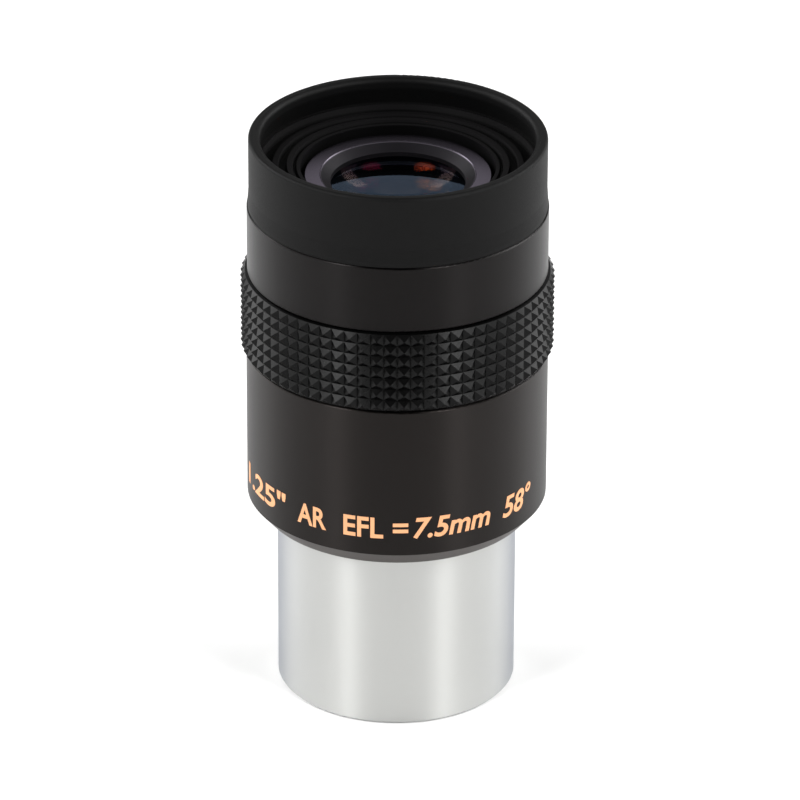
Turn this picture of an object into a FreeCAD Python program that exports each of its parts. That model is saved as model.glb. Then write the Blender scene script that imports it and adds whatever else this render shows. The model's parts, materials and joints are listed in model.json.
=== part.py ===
"""Telescope eyepiece for 1.25-inch focusers, 7.5 mm focal length, with a twist-up eye guard.

Every piece is round about the optical axis, which is Z. The origin is the middle of the barrel's
open end, so the eyepiece stands on z = 0 with the eye end up. Lengths are in millimetres.
"""
import FreeCAD, Part
import math
import os

import Sketcher

SIZES = {
    # Nosepiece: a 1.25-inch barrel, a hair under nominal so that it slides into a drawtube.
    "barrel_radius": 15.85,
    "barrel_length": 25.54,
    "barrel_edge": 0.3,
    "filter_thread_radius": 13.925,
    "filter_thread_length": 6.0,
    "filter_lead_in": 0.45,
    "filter_thread_half": 0.28,
    "filter_thread_depth": 0.35,
    "filter_thread_first": 1.1,
    "filter_thread_run": 4.2,
    "filter_thread_count": 8,
    "barrel_bore_radius": 14.3,
    "barrel_ledge_height": 17.8,
    "barrel_ledge_thickness": 0.8,
    "barrel_ledge_radius": 12.6,
    "barrel_cell_bore": 13.4,
    "spigot_radius": 15.0,
    "spigot_length": 5.4,
    "spigot_edge": 0.4,
    "spigot_thread_half": 0.34,
    "spigot_thread_depth": 0.35,
    "spigot_thread_first": 1.1,
    "spigot_thread_run": 3.75,
    "spigot_thread_count": 6,
    # Clearances.
    "seat_gap": 0.02,
    "running_gap": 0.08,
    "assembly_gap": 0.05,
    "glass_gap": 0.03,
    # Lower body, with the conical flare under it and the neck that the guard rides on.
    "body_radius": 19.85,
    "flare_radius": 18.07,
    "flare_height": 2.05,
    "body_top": 48.44,
    "body_edge": 0.18,
    "socket_depth": 6.1,
    "chamber_radius": 14.5,
    "chamber_top": 43.6,
    "chamber_neck_radius": 12.4,
    "neck_radius": 16.8,
    "neck_bore": 13.4,
    "neck_bore_bottom": 44.6,
    "neck_top": 69.45,
    "neck_edge": 0.3,
    # Helical guide slots in the neck.
    "guide_count": 3,
    "guide_height": 58.5,
    "guide_lead": 12.0,
    "guide_travel": 9.0,
    "guide_slot_half": 1.16,
    "guide_slot_floor": 15.8,
    "guide_slot_mouth": 17.2,
    "guide_lap_angle": 5.0,
    "guide_lap_height": 0.1667,
    # Light baffle.
    "baffle_height": 35.4,
    "baffle_thickness": 1.2,
    "baffle_aperture": 7.4,
    "baffle_lip": 0.25,
    # Negative field doublet and its cell.
    "field_cell_radius": 13.32,
    "field_cell_bottom": 18.65,
    "field_cell_top": 30.0,
    "field_cone_radius": 10.5,
    "field_cone_top": 19.9,
    "field_aperture": 6.4,
    "field_rim": 7.0,
    "field_pocket": 7.05,
    "field_shoulder": 20.68,
    "field_flint_low": 21.7,
    "field_cement": 22.9,
    "field_crown_high": 25.5,
    "field_low_curve": 25.2,
    "field_cement_curve": 11.9,
    "field_high_curve": 29.4,
    "field_ring_bottom": 26.38,
    "field_ring_top": 28.0,
    "field_ring_radius": 8.3,
    "field_ring_bore": 6.3,
    "field_cell_mouth": 11.6,
    "field_thread_top": 28.4,
    "ring_slot_half": 0.5,
    "ring_slot_count": 2,
    "ring_slot_depth": 0.8,
    # Eye lens group and its cell.
    "cell_radius": 13.3,
    "cell_bottom": 44.75,
    "cell_flange_radius": 14.3,
    "cell_flange_thickness": 0.5,
    "cell_column_radius": 12.17,
    "cell_top": 71.88,
    "cell_bore": 10.25,
    "cell_shoulder": 54.24,
    "cell_waist": 9.2,
    "cell_cap_bore": 11.35,
    "cell_cap_depth": 1.5,
    "stop_radius": 10.55,
    "stop_bottom": 46.2,
    "stop_top": 48.15,
    "stop_aperture": 7.7,
    "stop_knife_low": 46.9,
    "stop_knife_high": 47.0,
    "stop_cone": 9.3,
    "lens_rim": 10.2,
    "spacer_bore": 9.2,
    "flint_low": 53.8,
    "flint_cement": 55.2,
    "crown_high": 61.4,
    "flint_low_curve": 90.0,
    "flint_cement_curve": 26.5,
    "crown_high_curve": 31.0,
    "lower_spacer_bottom": 60.03,
    "lower_spacer_top": 62.84,
    "middle_low": 61.9,
    "middle_high": 66.1,
    "middle_low_curve": 44.0,
    "middle_high_curve": 60.0,
    "upper_spacer_bottom": 65.42,
    "upper_spacer_top": 68.67,
    "eye_low": 67.0,
    "eye_high": 72.0,
    "eye_low_curve": 25.7,
    "eye_high_curve": 90.0,
    # Cap ring over the eye lens.
    "cap_bottom": 71.6,
    "cap_skirt_bottom": 70.45,
    "cap_bore": 8.8,
    "cap_cone_bottom": 72.2,
    "cap_cone_radius": 10.2,
    "cap_top": 73.2,
    "cap_edge": 0.12,
    # Twist sleeve.
    "sleeve_bottom": 48.64,
    "sleeve_radius": 19.7,
    "sleeve_seat_radius": 18.4,
    "sleeve_shoulder": 59.94,
    "sleeve_top": 69.0,
    "sleeve_edge": 0.2,
    "collar_radius": 18.2,
    "collar_groove_radius": 17.7,
    "collar_groove_bottom": 69.7,
    "collar_groove_height": 0.9,
    "shelf_bottom": 70.25,
    "shelf_top": 71.6,
    "shelf_bore": 12.8,
    "drag_groove_radius": 17.65,
    "drag_groove_bottom": 49.5,
    "drag_groove_height": 2.0,
    "drag_end_gap": 0.1,
    "guide_hole_radius": 1.05,
    "guide_pin_radius": 1.0,
    "guide_pin_inner": 15.95,
    "guide_pin_outer": 18.35,
    "guide_socket_across": 0.5,
    "guide_socket_depth": 0.9,
    # Rubber grip ring with pyramid studs.
    "grip_bottom": 48.7,
    "grip_top": 59.84,
    "grip_bore": 18.45,
    "grip_foot_radius": 19.6,
    "grip_valley_radius": 20.0,
    "grip_stud_radius": 20.6,
    "grip_band": 0.12,
    "grip_half_row": 0.7785714,
    "grip_row_run": 7.785714,
    "grip_row_grooves": 6,
    "grip_half_column": 0.898845,
    "grip_columns": 72,
    "grip_ridge": 0.02,
    # Rubber eye guard.
    "guard_bottom": 69.06,
    "guard_skirt_radius": 19.56,
    "guard_skirt_top": 69.6,
    "guard_wall_radius": 19.44,
    "guard_blend_height": 1.9,
    "guard_top": 78.69,
    "guard_rim_bore": 17.85,
    "guard_rim_round": 0.7,
    "guard_rim_edge": 0.45,
    "guard_bead_bottom": 77.3,
    "guard_wall_bore": 18.4,
    "guard_bead_slope": 2.2,
    "guard_bead_round": 1.0,
    "guard_ledge_top": 74.9,
    "guard_ledge_radius": 18.0,
    "guard_ledge_foot": 17.65,
    "guard_floor": 73.9,
    "rib_top": 74.62,
    "rib_outer": 15.95,
    "rib_inner": 14.1,
    "rib_half_top": 0.34,
    "rib_half_foot": 0.52,
    "lip_radius": 13.18,
    "lip_foot": 13.36,
    "lip_top": 74.32,
    "guard_bore": 12.72,
}

XZ_PLANE = "XZ_Plane"
XY_PLANE = "XY_Plane"
YZ_PLANE = "YZ_Plane"
FULL_TURN = 360
ORIGIN_AXIS = -1
VERTICAL_AXIS = -2
START = 1
END = 2
CENTRE = 3
BULGED = 1
HOLLOW = -1
MATCH = 1e-4

document = FreeCAD.newDocument("eyepiece")
sheet = document.addObject("Spreadsheet::Sheet", "Sizes")
for row, (alias, size) in enumerate(SIZES.items(), start=1):
    sheet.set("A%d" % row, alias)
    sheet.set("B%d" % row, str(size))
    sheet.setAlias("B%d" % row, alias)
document.recompute()

pieces = []


def bound(expression):
    """The expression with every named size read from the sheet."""
    return " ".join("Sizes." + word if word in SIZES else word for word in expression.split())


def value_of(expression):
    """The number that a sum or difference of named sizes comes to."""
    total = 0.0
    sign = 1
    for word in expression.split():
        if word in "+-":
            sign = 1 if word == "+" else -1
        else:
            total += sign * SIZES[word]
    return total


def new_body(label):
    body = document.addObject("PartDesign::Body", label + "_body")
    body.Label = label
    pieces.append(body)
    return body


def new_sketch(body, name, role):
    """An empty sketch on one of the body's own origin planes."""
    sketch = body.newObject("Sketcher::SketchObject", name)
    plane = next(feature for feature in body.Origin.OriginFeatures if feature.Role == role)
    sketch.AttachmentSupport = [(plane, "")]
    sketch.MapMode = "FlatFace"
    return sketch


def pin_point(sketch, line, point, across, up):
    """Bind one end of a line to a radius and a height, each a sum of named sizes or None for zero."""
    for kind, axis, expression in (("DistanceX", VERTICAL_AXIS, across), ("DistanceY", ORIGIN_AXIS, up)):
        if expression is None:
            sketch.addConstraint(Sketcher.Constraint("PointOnObject", line, point, axis))
        else:
            index = sketch.addConstraint(Sketcher.Constraint(kind, line, point, value_of(expression)))
            sketch.setExpression("Constraints[%d]" % index, bound(expression))


def outline(body, name, corners, role=XZ_PLANE):
    """A closed outline of straight lines through (across, up) corners."""
    sketch = new_sketch(body, name, role)
    places = [FreeCAD.Vector(value_of(across or ""), value_of(up or ""), 0) for across, up in corners]
    lines = []
    for start, end in zip(places, places[1:] + places[:1]):
        lines.append(sketch.addGeometry(Part.LineSegment(start, end)))
    for line, following in zip(lines, lines[1:] + lines[:1]):
        sketch.addConstraint(Sketcher.Constraint("Coincident", line, END, following, START))
    for line, (across, up) in zip(lines, corners):
        pin_point(sketch, line, START, across, up)
    return sketch


def revolve(body, sketch, kind="PartDesign::Revolution"):
    """Turn a sketch about the optical axis, as material or as a groove."""
    feature = body.newObject(kind, sketch.Name + "_turn")
    feature.Profile = sketch
    feature.ReferenceAxis = (sketch, ["V_Axis"])
    feature.Angle = FULL_TURN
    body.Tip = feature
    return feature


def circle_edges(shape, across, up):
    """Names of the shape's circular edges of that radius at that height."""
    radius = value_of(across)
    height = value_of(up)
    names = []
    for number, edge in enumerate(shape.Edges, start=1):
        curve = edge.Curve
        if isinstance(curve, Part.Circle) and abs(curve.Radius - radius) < MATCH:
            if abs(curve.Center.z - height) < MATCH:
                names.append("Edge%d" % number)
    return names


def soften(body, kind, size, corners):
    """Fillet or chamfer the circular edges at the given corners of a turned piece."""
    document.recompute()
    base = body.Tip
    names = [name for across, up in corners for name in circle_edges(base.Shape, across, up)]
    feature = body.newObject("PartDesign::" + kind, "%s_%s_%s" % (body.Label, kind.lower(), size))
    feature.Base = (base, names)
    feature.setExpression("Radius" if kind == "Fillet" else "Size", bound(size))
    body.Tip = feature


def turned(label, corners):
    """A piece turned from one closed outline of (radius, height) corners."""
    body = new_body(label)
    revolve(body, outline(body, label + "_section", corners))
    return body


def repeat(body, kind, original, axis, **bindings):
    """A polar or linear pattern of one feature; the pattern becomes the body's tip."""
    feature = body.newObject("PartDesign::" + kind, original.Name + "_repeat")
    feature.Originals = [original]
    if kind == "PolarPattern":
        feature.Axis = axis
        feature.Angle = FULL_TURN
    else:
        feature.Direction = axis
    for name, expression in bindings.items():
        feature.setExpression(name, bound(expression))
    body.Tip = feature
    return feature


def check_cut(body, feature):
    """Stop if a cutting feature has taken nothing away."""
    document.recompute()
    before = feature.BaseFeature.Shape.Volume
    if feature.Shape.Volume >= before - MATCH:
        raise RuntimeError("%s cuts nothing from %s" % (feature.Name, body.Label))


def spanner_slots(body, inner, outer, top):
    """Two spanner slots across the top face of a ring, opposite each other."""
    corners = [(inner, "- ring_slot_half"), (outer, "- ring_slot_half"),
               (outer, "ring_slot_half"), (inner, "ring_slot_half")]
    sketch = outline(body, body.Label + "_slot", corners, XY_PLANE)
    sketch.setExpression("AttachmentOffset.Base.z", bound(top))
    pocket = body.newObject("PartDesign::Pocket", body.Label + "_slot_cut")
    pocket.Profile = sketch
    pocket.setExpression("Length", bound("ring_slot_depth"))
    body.Tip = pocket
    check_cut(body, pocket)
    repeat(body, "PolarPattern", pocket, (sketch, ["N_Axis"]), Occurrences="ring_slot_count")


def thread_rings(body, thread, root, mouth, first):
    """Evenly spaced V-grooves that stand for a fine thread."""
    notch = outline(body, thread, [
        (root, first),
        (mouth, first + " - " + thread + "_half"),
        (mouth, first + " + " + thread + "_half"),
    ])
    groove = revolve(body, notch, "PartDesign::Groove")
    check_cut(body, groove)
    repeat(body, "LinearPattern", groove, (notch, ["V_Axis"]),
           Length=thread + "_run", Occurrences=thread + "_count")


def lens(label, low, low_curve, low_side, high, high_curve, high_side, rim):
    """A glass element between two vertices on the axis; each face bulges outwards or is hollow."""
    body = new_body(label)
    sketch = new_sketch(body, label + "_section", XZ_PLANE)
    edge = SIZES[rim]
    low_vertex = value_of(low)
    high_vertex = value_of(high)
    faces = []
    ends = ((high_vertex, high_curve, high_side, 1), (low_vertex, low_curve, low_side, -1))
    for vertex, curve, side, upwards in ends:
        radius = SIZES[curve]
        towards = -upwards * side
        centre = FreeCAD.Vector(0, vertex + towards * radius, 0)
        rise = math.asin(edge / radius)
        vertex_angle = -towards * math.pi / 2
        rim_angle = vertex_angle + towards * rise
        circle = Part.Circle(centre, FreeCAD.Vector(0, 0, 1), radius)
        arc = Part.ArcOfCircle(circle, min(vertex_angle, rim_angle), max(vertex_angle, rim_angle))
        vertex_end = START if vertex_angle < rim_angle else END
        rim_end = END if vertex_end == START else START
        rim_height = centre.y - towards * radius * math.cos(rise)
        number = sketch.addGeometry(arc)
        faces.append((number, vertex_end, rim_end, rim_height, curve))
    (top, top_vertex, top_rim, top_height, _), (base, base_vertex, base_rim, base_height, _) = faces
    axis_line = sketch.addGeometry(
        Part.LineSegment(FreeCAD.Vector(0, low_vertex, 0), FreeCAD.Vector(0, high_vertex, 0)))
    rim_line = sketch.addGeometry(
        Part.LineSegment(FreeCAD.Vector(edge, top_height, 0), FreeCAD.Vector(edge, base_height, 0)))
    pin_point(sketch, axis_line, START, None, low)
    pin_point(sketch, axis_line, END, None, high)
    joins = ((axis_line, END, top, top_vertex), (top, top_rim, rim_line, START),
             (rim_line, END, base, base_rim), (base, base_vertex, axis_line, START))
    for join in joins:
        sketch.addConstraint(Sketcher.Constraint("Coincident", *join))
    for number, _, _, _, curve in faces:
        sketch.addConstraint(Sketcher.Constraint("PointOnObject", number, CENTRE, VERTICAL_AXIS))
        index = sketch.addConstraint(Sketcher.Constraint("Radius", number, SIZES[curve]))
        sketch.setExpression("Constraints[%d]" % index, bound(curve))
    sketch.addConstraint(Sketcher.Constraint("Vertical", rim_line))
    index = sketch.addConstraint(Sketcher.Constraint("DistanceX", rim_line, START, edge))
    sketch.setExpression("Constraints[%d]" % index, bound(rim))
    revolve(body, sketch)


def nosepiece_barrel():
    """Plated tube with a filter thread at its open end and a threaded spigot at its top."""
    thread_top = "filter_thread_length"
    spigot_top = "barrel_length + spigot_length"
    body = turned("nosepiece_barrel", [
        ("filter_thread_radius + filter_lead_in", None),
        ("barrel_radius", None),
        ("barrel_radius", "barrel_length"),
        ("spigot_radius", "barrel_length"),
        ("spigot_radius", spigot_top),
        ("barrel_cell_bore", spigot_top),
        ("barrel_cell_bore", "barrel_ledge_height + barrel_ledge_thickness"),
        ("barrel_ledge_radius", "barrel_ledge_height + barrel_ledge_thickness"),
        ("barrel_ledge_radius", "barrel_ledge_height"),
        ("barrel_bore_radius", "barrel_ledge_height"),
        ("barrel_bore_radius", thread_top),
        ("filter_thread_radius", thread_top),
        ("filter_thread_radius", "filter_lead_in"),
    ])
    edges = [("barrel_radius", ""), ("barrel_radius", "barrel_length")]
    soften(body, "Chamfer", "barrel_edge", edges)
    soften(body, "Chamfer", "spigot_edge", [("spigot_radius", spigot_top)])
    first = "barrel_length + spigot_thread_first"
    thread_rings(body, "spigot_thread", "spigot_radius - spigot_thread_depth",
                 "spigot_radius + seat_gap", first)
    thread_rings(body, "filter_thread", "filter_thread_radius + filter_thread_depth",
                 "filter_thread_radius - seat_gap", "filter_thread_first")


def field_lens_cell():
    """Black cup that screws down onto the barrel's ledge and holds the negative doublet."""
    turned("field_lens_cell", [
        ("field_cone_radius", "field_cell_bottom"),
        ("field_cell_radius", "field_cell_bottom"),
        ("field_cell_radius", "field_cell_top"),
        ("field_cell_mouth", "field_cell_top"),
        ("field_ring_radius + assembly_gap", "field_thread_top"),
        ("field_ring_radius + assembly_gap", "field_ring_bottom - glass_gap"),
        ("field_pocket", "field_ring_bottom - glass_gap"),
        ("field_pocket", "field_shoulder"),
        ("field_aperture", "field_shoulder"),
        ("field_aperture", "field_cone_top"),
    ])


def field_lens_retainer():
    body = turned("field_lens_retainer", [
        ("field_ring_bore", "field_ring_bottom"),
        ("field_ring_radius", "field_ring_bottom"),
        ("field_ring_radius", "field_ring_top"),
        ("field_ring_bore", "field_ring_top"),
    ])
    spanner_slots(body, "field_ring_bore - seat_gap", "field_ring_radius + seat_gap", "field_ring_top")


def body_shell():
    """Lower body: lettering band, conical flare, barrel socket and the neck the guard rides on."""
    underside = "barrel_length + seat_gap"
    flare_top = underside + " + flare_height"
    socket_top = "barrel_length + socket_depth"
    body = turned("body_shell", [
        ("spigot_radius + running_gap", underside),
        ("flare_radius", underside),
        ("body_radius", flare_top),
        ("body_radius", "body_top"),
        ("neck_radius", "body_top"),
        ("neck_radius", "neck_top"),
        ("neck_bore", "neck_top"),
        ("neck_bore", "neck_bore_bottom"),
        ("chamber_neck_radius", "neck_bore_bottom"),
        ("chamber_neck_radius", "chamber_top"),
        ("chamber_radius", "chamber_top"),
        ("chamber_radius", socket_top),
        ("spigot_radius + running_gap", socket_top),
    ])
    soften(body, "Fillet", "body_edge", [("body_radius", "body_top")])
    soften(body, "Chamfer", "neck_edge", [("neck_radius", "neck_top")])
    slot_foot = "guide_height - guide_lap_height"
    section = outline(body, "guide_slot", [
        ("guide_slot_floor", slot_foot + " - guide_slot_half"),
        ("guide_slot_mouth", slot_foot + " - guide_slot_half"),
        ("guide_slot_mouth", slot_foot + " + guide_slot_half"),
        ("guide_slot_floor", slot_foot + " + guide_slot_half"),
    ])
    up = FreeCAD.Vector(0, 1, 0)
    section.AttachmentOffset = FreeCAD.Placement(
        FreeCAD.Vector(), FreeCAD.Rotation(up, -SIZES["guide_lap_angle"]))
    slot = body.newObject("PartDesign::SubtractiveHelix", "guide_slot_sweep")
    slot.Profile = section
    slot.ReferenceAxis = (section, ["V_Axis"])
    slot.Mode = "pitch-height-angle"
    slot.setExpression("Pitch", bound("guide_lead"))
    slot.setExpression("Height", bound("guide_travel + guide_lap_height + guide_lap_height"))
    body.Tip = slot
    check_cut(body, slot)
    repeat(body, "PolarPattern", slot, (section, ["V_Axis"]), Occurrences="guide_count")


def light_baffle():
    """Knife-edged ring that stops stray light half-way up the chamber."""
    top = "baffle_height + baffle_thickness"
    turned("light_baffle", [
        ("baffle_aperture", "baffle_height"),
        ("chamber_radius - assembly_gap", "baffle_height"),
        ("chamber_radius - assembly_gap", top),
        ("baffle_aperture + baffle_thickness", top),
        ("baffle_aperture", "baffle_height + baffle_lip"),
    ])


def lens_cell():
    """Black tube that screws down into the neck and holds the eye-side glass."""
    flange_bottom = "neck_top"
    flange_top = "neck_top + cell_flange_thickness"
    turned("lens_cell", [
        ("stop_radius + assembly_gap", "cell_bottom"),
        ("cell_radius", "cell_bottom"),
        ("cell_radius", flange_bottom),
        ("cell_flange_radius", flange_bottom),
        ("cell_flange_radius", flange_top),
        ("cell_column_radius", flange_top),
        ("cell_column_radius", "cell_top"),
        ("cell_cap_bore", "cell_top"),
        ("cell_cap_bore", "cell_top - cell_cap_depth"),
        ("cell_bore", "cell_top - cell_cap_depth"),
        ("cell_bore", "cell_shoulder"),
        ("cell_waist", "cell_shoulder"),
        ("cell_waist", "stop_top + glass_gap"),
        ("stop_radius + assembly_gap", "stop_top + glass_gap"),
    ])


def field_stop():
    """Knife-edged ring in the focal plane; its hole is the edge of the field of view."""
    turned("field_stop", [
        ("stop_cone", "stop_bottom"),
        ("stop_radius", "stop_bottom"),
        ("stop_radius", "stop_top"),
        ("stop_cone", "stop_top"),
        ("stop_aperture", "stop_knife_high"),
        ("stop_aperture", "stop_knife_low"),
    ])


def spacer(label, bottom, top):
    """Thin ring that sets the air gap between two elements."""
    turned(label, [
        ("spacer_bore", bottom),
        ("lens_rim", bottom),
        ("lens_rim", top),
        ("spacer_bore", top),
    ])


def eye_lens_cap():
    """Ring that closes the lens cell, with a cone down to the eye lens."""
    body = turned("eye_lens_cap", [
        ("cap_bore", "cap_bottom"),
        ("cell_bore", "cap_bottom"),
        ("cell_bore", "cap_skirt_bottom"),
        ("cell_cap_bore - assembly_gap", "cap_skirt_bottom"),
        ("cell_cap_bore - assembly_gap", "cell_top + seat_gap"),
        ("cell_column_radius", "cell_top + seat_gap"),
        ("cell_column_radius", "cap_top"),
        ("cap_cone_radius", "cap_top"),
        ("cap_bore", "cap_cone_bottom"),
    ])
    edges = [("cell_column_radius", "cap_top"), ("cap_cone_radius", "cap_top")]
    soften(body, "Fillet", "cap_edge", edges)


def drag_ring():
    """Nylon ring in the sleeve's lower groove; it slides on the neck and gives the twist its drag."""
    bottom = "drag_groove_bottom + drag_end_gap"
    top = "drag_groove_bottom + drag_groove_height - drag_end_gap"
    turned("drag_ring", [
        ("neck_radius + running_gap", bottom),
        ("drag_groove_radius - running_gap", bottom),
        ("drag_groove_radius - running_gap", top),
        ("neck_radius + running_gap", top),
    ])


def twist_sleeve():
    """Upper body: turns on the neck and carries the grip ring below and the eye guard on its collar."""
    bore = "neck_radius + running_gap"
    drag_top = "drag_groove_bottom + drag_groove_height"
    groove_top = "collar_groove_bottom + collar_groove_height"
    body = turned("twist_sleeve", [
        (bore, "sleeve_bottom"),
        ("sleeve_seat_radius", "sleeve_bottom"),
        ("sleeve_seat_radius", "sleeve_shoulder"),
        ("sleeve_radius", "sleeve_shoulder"),
        ("sleeve_radius", "sleeve_top"),
        ("collar_radius", "sleeve_top"),
        ("collar_radius", "collar_groove_bottom"),
        ("collar_groove_radius", "collar_groove_bottom"),
        ("collar_groove_radius", groove_top),
        ("collar_radius", groove_top),
        ("collar_radius", "shelf_top"),
        ("shelf_bore", "shelf_top"),
        ("shelf_bore", "shelf_bottom"),
        (bore, "shelf_bottom"),
        (bore, drag_top),
        ("drag_groove_radius", drag_top),
        ("drag_groove_radius", "drag_groove_bottom"),
        (bore, "drag_groove_bottom"),
    ])
    edges = [("sleeve_radius", "sleeve_shoulder"), ("sleeve_radius", "sleeve_top")]
    soften(body, "Fillet", "sleeve_edge", edges)
    sketch = new_sketch(body, "guide_hole", YZ_PLANE)
    circle = sketch.addGeometry(Part.Circle(
        FreeCAD.Vector(0, SIZES["guide_height"], 0), FreeCAD.Vector(0, 0, 1), SIZES["guide_hole_radius"]))
    pin_point(sketch, circle, CENTRE, None, "guide_height")
    index = sketch.addConstraint(Sketcher.Constraint("Radius", circle, SIZES["guide_hole_radius"]))
    sketch.setExpression("Constraints[%d]" % index, bound("guide_hole_radius"))
    hole = body.newObject("PartDesign::Pocket", "guide_hole_cut")
    hole.Profile = sketch
    hole.Reversed = True
    hole.setExpression("Length", bound("sleeve_radius"))
    body.Tip = hole
    check_cut(body, hole)
    repeat(body, "PolarPattern", hole, (sketch, ["V_Axis"]), Occurrences="guide_count")


def guide_screws():
    """Three headless screws through the sleeve, their dog points in the neck's helical slots."""
    screws = []
    for number in range(int(SIZES["guide_count"])):
        turn = FreeCAD.Rotation(FreeCAD.Vector(0, 0, 1), FULL_TURN * number / SIZES["guide_count"])
        aim = turn * FreeCAD.Rotation(FreeCAD.Vector(0, 1, 0), 90)
        pin = document.addObject("Part::Cylinder", "guide_pin_%d" % number)
        pin.setExpression("Radius", bound("guide_pin_radius"))
        pin.setExpression("Height", bound("guide_pin_outer - guide_pin_inner"))
        pin_foot = turn.multVec(FreeCAD.Vector(SIZES["guide_pin_inner"], 0, SIZES["guide_height"]))
        pin.Placement = FreeCAD.Placement(pin_foot, aim)
        socket = document.addObject("Part::Prism", "guide_socket_%d" % number)
        socket.Polygon = 6
        socket.setExpression("Circumradius", bound("guide_socket_across"))
        socket.setExpression("Height", bound("guide_socket_depth + seat_gap"))
        socket_reach = SIZES["guide_pin_outer"] - SIZES["guide_socket_depth"]
        socket_foot = turn.multVec(FreeCAD.Vector(socket_reach, 0, SIZES["guide_height"]))
        socket.Placement = FreeCAD.Placement(socket_foot, aim)
        screw = document.addObject("Part::Cut", "guide_screw_%d" % number)
        screw.Base = pin
        screw.Tool = socket
        screws.append(screw)
    group = document.addObject("Part::Compound", "guide_screw_group")
    group.Links = screws
    group.Label = "guide_screws"
    pieces.append(group)


def grip_ring():
    """Rubber ring stretched on the sleeve, its rows and columns of studs cut by V-grooves."""
    stud_foot = "grip_bottom + grip_band"
    stud_head = "grip_top - grip_band"
    body = turned("grip_ring", [
        ("grip_bore", "grip_bottom"),
        ("grip_foot_radius", "grip_bottom"),
        ("grip_valley_radius", stud_foot),
        ("grip_stud_radius", stud_foot + " + grip_half_row"),
        ("grip_stud_radius", stud_head + " - grip_half_row"),
        ("grip_valley_radius", stud_head),
        ("grip_foot_radius", "grip_top"),
        ("grip_bore", "grip_top"),
    ])
    first = stud_foot + " + grip_half_row + grip_half_row"
    notch = outline(body, "grip_row", [
        ("grip_valley_radius", first),
        ("grip_stud_radius", first + " - grip_half_row + grip_ridge"),
        ("grip_stud_radius + seat_gap", first + " - grip_half_row + grip_ridge"),
        ("grip_stud_radius + seat_gap", first + " + grip_half_row - grip_ridge"),
        ("grip_stud_radius", first + " + grip_half_row - grip_ridge"),
    ])
    groove = revolve(body, notch, "PartDesign::Groove")
    check_cut(body, groove)
    rows = repeat(body, "LinearPattern", groove, (notch, ["V_Axis"]),
                  Length="grip_row_run", Occurrences="grip_row_grooves")
    column = outline(body, "grip_column", [
        ("grip_valley_radius", None),
        ("grip_stud_radius", "- grip_half_column + grip_ridge"),
        ("grip_stud_radius + grip_half_column", "- grip_half_column + grip_ridge"),
        ("grip_stud_radius + grip_half_column", "grip_half_column - grip_ridge"),
        ("grip_stud_radius", "grip_half_column - grip_ridge"),
    ], XY_PLANE)
    cut = body.newObject("PartDesign::Pocket", "grip_column_cut")
    cut.Profile = column
    cut.Reversed = True
    cut.setExpression("Length", bound("sleeve_top"))
    body.Tip = cut
    check_cut(body, cut)
    repeat(body, "PolarPattern", cut, (column, ["N_Axis"]), Occurrences="grip_columns")


def eye_guard():
    """Rubber cup snapped over the sleeve's collar, with a beaded rim."""
    collar = "collar_radius + assembly_gap"
    snap = "collar_groove_radius + assembly_gap"
    snap_bottom = "collar_groove_bottom + assembly_gap"
    snap_top = "collar_groove_bottom + collar_groove_height - assembly_gap"
    body = turned("eye_guard", [
        ("guard_wall_bore", "shelf_top"),
        (collar, "shelf_top"),
        (collar, snap_top),
        (snap, snap_top),
        (snap, snap_bottom),
        (collar, snap_bottom),
        (collar, "guard_bottom"),
        ("guard_skirt_radius", "guard_bottom"),
        ("guard_skirt_radius", "guard_skirt_top"),
        ("guard_wall_radius", "guard_skirt_top + guard_blend_height"),
        ("guard_wall_radius", "guard_top"),
        ("guard_rim_bore", "guard_top"),
        ("guard_rim_bore", "guard_bead_bottom"),
        ("guard_wall_bore", "guard_bead_bottom - guard_bead_slope"),
    ])
    soften(body, "Fillet", "guard_rim_edge", [("guard_wall_radius", "guard_top")])
    soften(body, "Fillet", "guard_rim_round", [("guard_rim_bore", "guard_top")])
    soften(body, "Fillet", "guard_bead_round", [("guard_rim_bore", "guard_bead_bottom")])


def cup_floor():
    """Ribbed black ring on the sleeve's shelf; its ridges keep stray light from the eye."""
    outer = "guard_wall_bore - assembly_gap"
    underside = "shelf_top + seat_gap"
    corners = [
        ("guard_bore", underside),
        (outer, underside),
        (outer, "guard_ledge_top"),
        ("guard_ledge_radius", "guard_ledge_top"),
        ("guard_ledge_foot", "guard_floor"),
    ]
    for rib in ("rib_outer", "rib_inner"):
        corners.append((rib + " + rib_half_foot", "guard_floor"))
        corners.append((rib + " + rib_half_top", "rib_top"))
        corners.append((rib + " - rib_half_top", "rib_top"))
        corners.append((rib + " - rib_half_foot", "guard_floor"))
    corners.append(("lip_foot", "guard_floor"))
    corners.append(("lip_radius", "lip_top"))
    corners.append(("guard_bore", "lip_top"))
    turned("cup_floor", corners)


nosepiece_barrel()
field_lens_cell()
lens("field_lens_flint", "field_flint_low", "field_low_curve", HOLLOW,
     "field_cement", "field_cement_curve", HOLLOW, "field_rim")
lens("field_lens_crown", "field_cement", "field_cement_curve", BULGED,
     "field_crown_high", "field_high_curve", HOLLOW, "field_rim")
field_lens_retainer()
body_shell()
light_baffle()
lens_cell()
field_stop()
lens("doublet_flint", "flint_low", "flint_low_curve", BULGED,
     "flint_cement", "flint_cement_curve", HOLLOW, "lens_rim")
lens("doublet_crown", "flint_cement", "flint_cement_curve", BULGED,
     "crown_high", "crown_high_curve", BULGED, "lens_rim")
spacer("lower_spacer", "lower_spacer_bottom", "lower_spacer_top")
lens("middle_lens", "middle_low", "middle_low_curve", BULGED,
     "middle_high", "middle_high_curve", BULGED, "lens_rim")
spacer("upper_spacer", "upper_spacer_bottom", "upper_spacer_top")
lens("eye_lens", "eye_low", "eye_low_curve", BULGED,
     "eye_high", "eye_high_curve", BULGED, "lens_rim")
eye_lens_cap()
drag_ring()
twist_sleeve()
guide_screws()
grip_ring()
eye_guard()
cup_floor()

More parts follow.
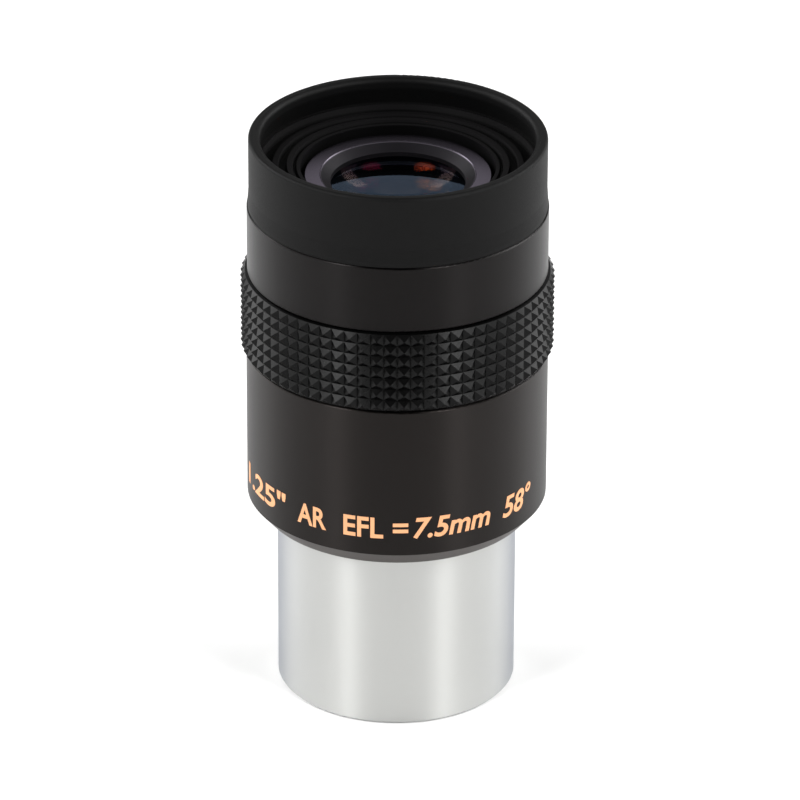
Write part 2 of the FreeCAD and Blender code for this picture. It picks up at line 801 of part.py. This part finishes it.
document.recompute()
for item in document.Objects:
    if "Invalid" in item.State or "Error" in item.State:
        raise RuntimeError("%s did not compute: %s" % (item.Name, item.State))
for piece in pieces:
    if piece.Shape.isNull() or not piece.Shape.isValid():
        raise RuntimeError("%s has no valid shape" % piece.Label)
os.makedirs("parts", exist_ok=True)
for piece in pieces:
    piece.Shape.exportStep("parts/%s.step" % piece.Label)
    print(piece.Label, len(piece.Shape.Solids), round(piece.Shape.Volume, 1))
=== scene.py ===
"""Looks of the telescope eyepiece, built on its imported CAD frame. Lengths are in metres."""

import json
import math

import bmesh
import bpy
from mathutils import Matrix, Vector


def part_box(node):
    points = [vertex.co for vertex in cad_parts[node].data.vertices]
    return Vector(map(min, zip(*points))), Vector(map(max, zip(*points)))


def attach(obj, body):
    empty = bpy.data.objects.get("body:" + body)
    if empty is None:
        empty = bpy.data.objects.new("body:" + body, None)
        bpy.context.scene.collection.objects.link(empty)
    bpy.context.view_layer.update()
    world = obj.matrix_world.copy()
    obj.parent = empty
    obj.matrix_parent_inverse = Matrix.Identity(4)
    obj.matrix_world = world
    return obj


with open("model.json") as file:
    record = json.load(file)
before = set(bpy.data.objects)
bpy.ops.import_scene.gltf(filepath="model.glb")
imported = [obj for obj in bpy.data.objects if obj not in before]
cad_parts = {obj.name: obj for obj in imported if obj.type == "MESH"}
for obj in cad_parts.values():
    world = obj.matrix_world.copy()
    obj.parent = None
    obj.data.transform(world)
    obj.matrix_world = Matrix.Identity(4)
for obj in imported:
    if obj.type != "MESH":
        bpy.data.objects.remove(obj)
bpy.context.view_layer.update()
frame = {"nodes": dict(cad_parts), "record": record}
nodes = frame["nodes"]

MM = 0.001


# ---------------------------------------------------------------- camera

CAMERA_HEIGHT = 426.7 * MM
CAMERA_DISTANCE = 755.6 * MM
AIM = Vector((0.385 * MM, 0, 40.2 * MM))
FOCAL_LENGTH = 289.1
CAMERA_ROLL = math.radians(0.249)


def add_camera():
    data = bpy.data.cameras.new("camera")
    data.lens = FOCAL_LENGTH
    data.sensor_width = 36
    data.clip_start = 0.01
    data.clip_end = 50
    camera = bpy.data.objects.new("camera", data)
    bpy.context.scene.collection.objects.link(camera)
    place = Vector((0, -CAMERA_DISTANCE, CAMERA_HEIGHT))
    turn = (AIM - place).to_track_quat("-Z", "Y").to_matrix().to_4x4()
    camera.matrix_world = Matrix.Translation(place) @ turn @ Matrix.Rotation(CAMERA_ROLL, 4, "Z")
    bpy.context.scene.camera = camera


# ---------------------------------------------------------------- materials

def new_material(name, **sockets):
    """A Principled material; returns it with its node tree and shader."""
    material = bpy.data.materials.new(name)
    material.use_nodes = True
    tree = material.node_tree
    shader = tree.nodes["Principled BSDF"]
    for socket, value in sockets.items():
        shader.inputs[socket.replace("_", " ")].default_value = value
    return material, tree, shader


def rgb(red, green, blue):
    return (red, green, blue, 1.0)


def noise(tree, scale, detail=3.0, roughness=0.55, stretch=(1, 1, 1)):
    """Noise in object coordinates, in cycles per metre."""
    coordinates = tree.nodes.new("ShaderNodeTexCoord")
    mapping = tree.nodes.new("ShaderNodeMapping")
    mapping.inputs["Scale"].default_value = stretch
    texture = tree.nodes.new("ShaderNodeTexNoise")
    texture.inputs["Scale"].default_value = scale
    texture.inputs["Detail"].default_value = detail
    texture.inputs["Roughness"].default_value = roughness
    tree.links.new(coordinates.outputs["Object"], mapping.inputs["Vector"])
    tree.links.new(mapping.outputs["Vector"], texture.inputs["Vector"])
    return texture.outputs["Fac"]


def remap(tree, value, low, high):
    node = tree.nodes.new("ShaderNodeMapRange")
    node.inputs["To Min"].default_value = low
    node.inputs["To Max"].default_value = high
    tree.links.new(value, node.inputs["Value"])
    return node.outputs["Result"]


def bump(tree, shader, height, strength, distance):
    node = tree.nodes.new("ShaderNodeBump")
    node.inputs["Strength"].default_value = strength
    node.inputs["Distance"].default_value = distance
    tree.links.new(height, node.inputs["Height"])
    tree.links.new(node.outputs["Normal"], shader.inputs["Normal"])


def brush_round(tree, shader, amount):
    """Lathe marks round the axis: reflections spread along the axis."""
    tangent = tree.nodes.new("ShaderNodeTangent")
    tangent.direction_type = "RADIAL"
    tangent.axis = "Z"
    tree.links.new(tangent.outputs["Tangent"], shader.inputs["Tangent"])
    shader.inputs["Anisotropic"].default_value = amount
    shader.inputs["Anisotropic Rotation"].default_value = 0.25


def height_mask(tree, low, high):
    """0 below one height and 1 above another, in object coordinates."""
    coordinates = tree.nodes.new("ShaderNodeTexCoord")
    parts = tree.nodes.new("ShaderNodeSeparateXYZ")
    tree.links.new(coordinates.outputs["Object"], parts.inputs["Vector"])
    node = tree.nodes.new("ShaderNodeMapRange")
    node.inputs["From Min"].default_value = low
    node.inputs["From Max"].default_value = high
    tree.links.new(parts.outputs["Z"], node.inputs["Value"])
    return node.outputs["Result"]


def radius_mask(tree, low, high):
    """0 inside one distance from the optical axis and 1 outside another, in object coordinates."""
    coordinates = tree.nodes.new("ShaderNodeTexCoord")
    flat = tree.nodes.new("ShaderNodeVectorMath")
    flat.operation = "MULTIPLY"
    flat.inputs[1].default_value = (1, 1, 0)
    length = tree.nodes.new("ShaderNodeVectorMath")
    length.operation = "LENGTH"
    tree.links.new(coordinates.outputs["Object"], flat.inputs[0])
    tree.links.new(flat.outputs["Vector"], length.inputs[0])
    node = tree.nodes.new("ShaderNodeMapRange")
    node.inputs["From Min"].default_value = low
    node.inputs["From Max"].default_value = high
    tree.links.new(length.outputs["Value"], node.inputs["Value"])
    return node.outputs["Result"]


def blend_shades(tree, mask, low, high):
    node = tree.nodes.new("ShaderNodeMix")
    node.data_type = "RGBA"
    node.inputs["A"].default_value = rgb(*low)
    node.inputs["B"].default_value = rgb(*high)
    tree.links.new(mask, node.inputs["Factor"])
    return node.outputs["Result"]


def anodised(name, shade, roughness, level, tint, turned_marks=0.95, relief=0.12):
    """Dyed aluminium with fine lathe marks and a slight grain."""
    material, tree, shader = new_material(name, Roughness=roughness)
    brush_round(tree, shader, turned_marks)
    shader.inputs["Specular IOR Level"].default_value = level
    shader.inputs["Specular Tint"].default_value = rgb(*tint)
    grain = noise(tree, 5200)
    darker = [value * 0.8 for value in shade]
    lighter = [value * 1.2 for value in shade]
    tree.links.new(blend_shades(tree, grain, darker, lighter), shader.inputs["Base Color"])
    tree.links.new(remap(tree, grain, roughness - 0.05, roughness + 0.05), shader.inputs["Roughness"])
    bump(tree, shader, grain, relief, 0.02 * MM)
    return material


def anodised_body():
    """The body's black, with its conical flare painted grey: a painted reflection of the white floor below
    it.
    """
    material = anodised("anodised_body", BODY_SHADE, 0.37, BODY_LEVEL, BODY_TINT)
    tree = material.node_tree
    shader = tree.nodes["Principled BSDF"]
    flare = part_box("body_shell")[0][2] + FLARE_HEIGHT
    mask = height_mask(tree, flare - 0.03 * MM, flare + 0.03 * MM)
    # Painted reflection: below the flare height the base colour turns grey for the floor's reflection.
    tree.links.new(blend_shades(tree, mask, FLARE_PAINTED_REFLECTION, BODY_SHADE), shader.inputs["Base Color"])
    return material


def ribbed_floor():
    """The cup floor: dead black walls and grooves, its crests painted a little lighter as a painted
    highlight.
    """
    material = anodised("ribbed_floor", INNER_SHADE, 0.6, 0.06, NEUTRAL, 0.3)
    tree = material.node_tree
    shader = tree.nodes["Principled BSDF"]
    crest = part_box("cup_floor")[1][2]
    mask = height_mask(tree, crest - 0.75 * MM, crest - 0.55 * MM)
    # Painted highlight: above the crest height the base colour turns lighter.
    tree.links.new(blend_shades(tree, mask, INNER_SHADE, CREST_PAINTED_HIGHLIGHT), shader.inputs["Base Color"])
    return material


def turned_cap():
    """The cap ring: a bright turned face, a duller cone and a bore coloured black as painted shade."""
    material = anodised("turned_cap", CAP_SHADE, 0.4, 0.2, CAP_TINT, 0.2, relief=0.03)
    tree = material.node_tree
    shader = tree.nodes["Principled BSDF"]
    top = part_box("eye_lens_cap")[1][2]
    face = height_mask(tree, top - 0.15 * MM, top - 0.05 * MM)
    cone = height_mask(tree, top - CAP_CONE - 0.02 * MM, top - CAP_CONE + 0.02 * MM)
    shades = blend_shades(tree, face, CAP_SHADE, CAP_FACE)
    # Painted shade: below the cone the bore's base colour is black.
    tree.links.new(blend_shades(tree, cone, BLACK, CAP_SHADE), shades.node.inputs["A"])
    tree.links.new(shades, shader.inputs["Base Color"])
    tree.links.new(face, shader.inputs["Metallic"])
    roughness = remap(tree, face, 0.5, 0.27)
    tree.links.new(remap(tree, cone, 0.95, 0.5), roughness.node.inputs["To Min"])
    tree.links.new(roughness, shader.inputs["Roughness"])
    return material


def plating():
    material, tree, shader = new_material(
        "satin_plating", Base_Color=rgb(0.56, 0.563, 0.547), Metallic=1.0, Roughness=0.3)
    brush_round(tree, shader, 0.9)
    shader.inputs["Specular Tint"].default_value = rgb(*PLATING_EDGE)
    lines = noise(tree, 900, stretch=(0.02, 0.02, 8))
    tree.links.new(remap(tree, lines, 0.31, 0.39), shader.inputs["Roughness"])
    bump(tree, shader, lines, 0.1, 0.01 * MM)
    return material


def rubber(name, shade, roughness, level):
    material, tree, shader = new_material(name, Roughness=roughness)
    shader.inputs["Specular IOR Level"].default_value = level
    grain = noise(tree, 3800, detail=4)
    darker = [value * 0.7 for value in shade]
    lighter = [value * 1.3 for value in shade]
    tree.links.new(blend_shades(tree, grain, darker, lighter), shader.inputs["Base Color"])
    tree.links.new(remap(tree, grain, roughness - 0.08, roughness + 0.08), shader.inputs["Roughness"])
    bump(tree, shader, grain, 0.25, 0.03 * MM)
    return material


def glass(name, film, level, tint, clear_radius):
    """Polished glass with an anti-reflection film in nanometres, its base colour black outside the clear
    radius.
    """
    material, tree, shader = new_material(
        name, Roughness=0.0, IOR=1.6, Transmission_Weight=1.0, Thin_Film_Thickness=film, Thin_Film_IOR=1.38)
    shader.inputs["Specular IOR Level"].default_value = level
    dust = noise(tree, 2600, detail=5)
    clean = [value * 0.97 for value in tint]
    edge = radius_mask(tree, clear_radius, clear_radius + 0.02 * MM)
    shades = blend_shades(tree, edge, tint, BLACK)
    tree.links.new(blend_shades(tree, dust, clean, tint), shades.node.inputs["A"])
    tree.links.new(shades, shader.inputs["Base Color"])
    return material


def paint():
    material, tree, shader = new_material("lettering_paint", Base_Color=rgb(0.88, 0.42, 0.20), Roughness=0.5)
    wear = noise(tree, 9000, detail=4)
    tree.links.new(remap(tree, wear, 0.45, 0.6), shader.inputs["Roughness"])
    return material


def nylon():
    material, tree, shader = new_material("nylon", Roughness=0.45)
    marks = noise(tree, 2500, detail=4)
    shades = blend_shades(tree, marks, (0.50, 0.47, 0.38), (0.60, 0.57, 0.49))
    tree.links.new(shades, shader.inputs["Base Color"])
    tree.links.new(remap(tree, marks, 0.38, 0.52), shader.inputs["Roughness"])
    bump(tree, shader, marks, 0.2, 0.02 * MM)
    return material


BODY_SHADE = (0.002, 0.0019, 0.0017)
BODY_LEVEL = 0.26
SLEEVE_SHADE = (0.001, 0.0009, 0.0009)
BODY_TINT = (1.0, 0.88, 0.84)
SLEEVE_TINT = (1.0, 0.93, 0.92)
FLARE_HEIGHT = 2.05 * MM
# Painted reflection: the flare's grey stands in for the white floor it reflects.
FLARE_PAINTED_REFLECTION = (0.075, 0.070, 0.066)
PLATING_EDGE = (0.60, 0.63, 0.72)
NEUTRAL = (1.0, 1.0, 1.0)
BLACK = (0.0, 0.0, 0.0)
INNER_SHADE = (0.0006, 0.0006, 0.0006)
# Painted highlight on the cup floor's crests.
CREST_PAINTED_HIGHLIGHT = (0.005, 0.0047, 0.005)
CAP_SHADE = (0.004, 0.0037, 0.0044)
CAP_FACE = (0.15, 0.136, 0.163)
CAP_CONE = 1.0 * MM
CAP_TINT = (0.94, 0.88, 1.0)

MATERIALS = {
    "barrel_plating": plating(),
    "anodised_black": anodised("anodised_sleeve", SLEEVE_SHADE, 0.31, 0.18, SLEEVE_TINT),
    "anodised_inner": anodised("anodised_inner", INNER_SHADE, 0.6, 0.06, NEUTRAL, 0.3),
    "anodised_cap": turned_cap(),
    "coated_glass": glass("coated_glass", 165, 0.1, (0.30, 0.30, 0.33), 9.0 * MM),
    "inner_coated_glass": glass("inner_coated_glass", 300, 0.1, (0.70, 0.66, 0.62), 9.6 * MM),
    "nylon": nylon(),
    "lettering_paint": paint(),
    "blackened_steel": anodised("blackened_steel", (0.02, 0.02, 0.02), 0.4, 0.5, NEUTRAL, 0.3),
    "grip_rubber": rubber("grip_rubber", (0.001, 0.001, 0.001), 0.30, 0.13),
    "guard_rubber": rubber("guard_rubber", (0.0026, 0.0026, 0.0026), 0.55, 0.13),
}
NODE_MATERIALS = {"body_shell": anodised_body(), "cup_floor": ribbed_floor()}


def dress_nodes():
    """Give every CAD node the material of its slot, or its own."""
    for entry in frame["record"]["subparts"]:
        name = entry["node"]
        data = nodes[name].data
        data.materials.clear()
        data.materials.append(NODE_MATERIALS.get(name, MATERIALS[entry["material_slot"]]))


# ---------------------------------------------------------------- lettering

LETTER_HEIGHT = 3.0 * MM
LETTER_BASE = 4.6 * MM
LETTER_PAINT = 0.03 * MM
LETTER_SLANT = 0.21
LETTER_BOLD = 0.022
LETTER_STEP = 0.4 * MM
CAP_RATIO = 0.729
# Name, text, first and last angle from the front in degrees, slant.
WORDS = (
    ("size_lettering", '1.25"', -79, -47, 0.0),
    ("coating_lettering", "AR", -40.6, -27.6, 0.0),
    ("focal_word_lettering", "EFL", -20.4, -5.0, 0.0),
    ("focal_sign_lettering", "=", -1.4, 4.4, 0.0),
    ("focal_length_lettering", "7.5mm", 6.3, 38.0, LETTER_SLANT),
    ("field_lettering", "58\u00b0", 44.3, 62.0, LETTER_SLANT),
)


def flat_word(text, slant):
    """The word as a flat mesh with its baseline on the X axis, in metres."""
    curve = bpy.data.curves.new("word", "FONT")
    curve.body = text
    curve.size = LETTER_HEIGHT / CAP_RATIO
    curve.offset = LETTER_BOLD * curve.size
    curve.shear = slant
    curve.extrude = LETTER_PAINT
    curve.resolution_u = 6
    carrier = bpy.data.objects.new("word", curve)
    bpy.context.scene.collection.objects.link(carrier)
    bpy.context.view_layer.update()
    mesh = bpy.data.meshes.new_from_object(carrier.evaluated_get(bpy.context.evaluated_depsgraph_get()))
    bpy.data.objects.remove(carrier)
    bpy.data.curves.remove(curve)
    return mesh


def letter_word(name, text, first_angle, last_angle, slant):
    """Printed word wrapped on the lower body between two angles from the front, in degrees."""
    low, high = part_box("body_shell")
    radius = high[0]
    base = low[2] + LETTER_BASE
    mesh = flat_word(text, slant)
    form = bmesh.new()
    form.from_mesh(mesh)
    left = min(vertex.co.x for vertex in form.verts)
    right = max(vertex.co.x for vertex in form.verts)
    arc = math.radians(last_angle - first_angle) * radius
    stretch = arc / (right - left)
    for cut in range(1, int((right - left) / LETTER_STEP) + 1):
        bmesh.ops.bisect_plane(form, geom=form.verts[:] + form.edges[:] + form.faces[:],
                               plane_co=(left + cut * LETTER_STEP, 0, 0), plane_no=(1, 0, 0))
    for vertex in form.verts:
        angle = math.radians(first_angle) + (vertex.co.x - left) * stretch / radius
        reach = radius + vertex.co.z
        height = base + vertex.co.y
        vertex.co = Vector((reach * math.sin(angle), -reach * math.cos(angle), height))
    form.to_mesh(mesh)
    form.free()
    mesh.name = name
    word = bpy.data.objects.new(name, mesh)
    bpy.context.scene.collection.objects.link(word)
    mesh.materials.clear()
    mesh.materials.append(MATERIALS["lettering_paint"])
    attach(word, "housing")


def add_lettering():
    for word in WORDS:
        letter_word(*word)


# ---------------------------------------------------------------- stage and light

def add_floor():
    bpy.ops.mesh.primitive_plane_add(size=8)
    floor = bpy.context.object
    floor.name = "floor"
    material = new_material("floor", Base_Color=rgb(0.95, 0.95, 0.95), Roughness=0.8)[0]
    floor.data.materials.append(material)


def add_world():
    world = bpy.data.worlds.new("studio")
    bpy.context.scene.world = world
    world.use_nodes = True
    background = world.node_tree.nodes["Background"]
    background.inputs["Color"].default_value = rgb(1, 1, 1)
    background.inputs["Strength"].default_value = 0.02


BOX_AIM = 45 * MM
BOX_DISTANCE = 0.9
# Pairs of soft boxes: name, azimuth from the front, elevation, width and height, power.
SIDE_BOXES = (
    ("key", 47, 36, (0.2, 0.6), 4.1),
    ("wide", 62, 32, (0.3, 0.6), 1.4),
    ("edge", 85, 28, (0.4, 0.6), 1.3),
    ("rim", 120, 25, (0.6, 0.6), 5.4),
)
# Small coloured lamps that only the glass reflects: name, azimuth, power, colour.
GLINTS = (
    ("left_glint", -82, 0.0032, (1.0, 0.24, 0.06)),
    ("right_glint", 82, 0.001, (1.0, 0.08, 0.18)),
)
GLINT_ELEVATION = 63
GLINT_DISTANCE = 70 * MM
GLINT_SIZE = (34 * MM, 34 * MM)
GLINT_SPREAD = math.radians(27)
EYE_GLASS = ("eye_lens", "middle_lens", "doublet_crown", "doublet_flint")


def add_area_light(name, azimuth, elevation, distance, size, power, aim):
    """A soft box; azimuth 0 is the camera's side, positive to its right; aim is a height on the axis."""
    data = bpy.data.lights.new(name, "AREA")
    data.shape = "RECTANGLE"
    data.size, data.size_y = size
    data.energy = power
    light = bpy.data.objects.new(name, data)
    bpy.context.scene.collection.objects.link(light)
    turn = math.radians(azimuth)
    rise = math.radians(elevation)
    towards = Vector((math.sin(turn) * math.cos(rise), -math.cos(turn) * math.cos(rise), math.sin(rise)))
    place = Vector((0, 0, aim)) + towards * distance
    light.matrix_world = Matrix.Translation(place) @ (-towards).to_track_quat("-Z", "Y").to_matrix().to_4x4()
    return light


def add_soft_boxes():
    """Two mirrored sets of boxes, and an oval one behind whose reflection lies in the eye lens."""
    for side, word in ((-1, "left_"), (1, "right_")):
        for name, azimuth, elevation, size, power in SIDE_BOXES:
            add_area_light(word + name, side * azimuth, elevation, BOX_DISTANCE, size, power, BOX_AIM)
    back = add_area_light("back_box", 180, 34, 1.1, (0.8, 1.3), 1.3, BOX_AIM)
    back.data.shape = "ELLIPSE"


def add_glints():
    """The red and orange glints of the lens coatings."""
    glass_only = bpy.data.collections.new("eye_glass")
    for name in EYE_GLASS:
        glass_only.objects.link(nodes[name])
    lens_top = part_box("eye_lens")[1][2]
    for name, azimuth, power, colour in GLINTS:
        lamp = add_area_light(name, azimuth, GLINT_ELEVATION, GLINT_DISTANCE, GLINT_SIZE, power, lens_top)
        lamp.data.color = colour
        lamp.data.spread = GLINT_SPREAD
        lamp.light_linking.receiver_collection = glass_only


add_camera()
add_world()
add_floor()
dress_nodes()
add_lettering()
add_soft_boxes()
add_glints()
bpy.context.scene.view_settings.view_transform = "Standard"
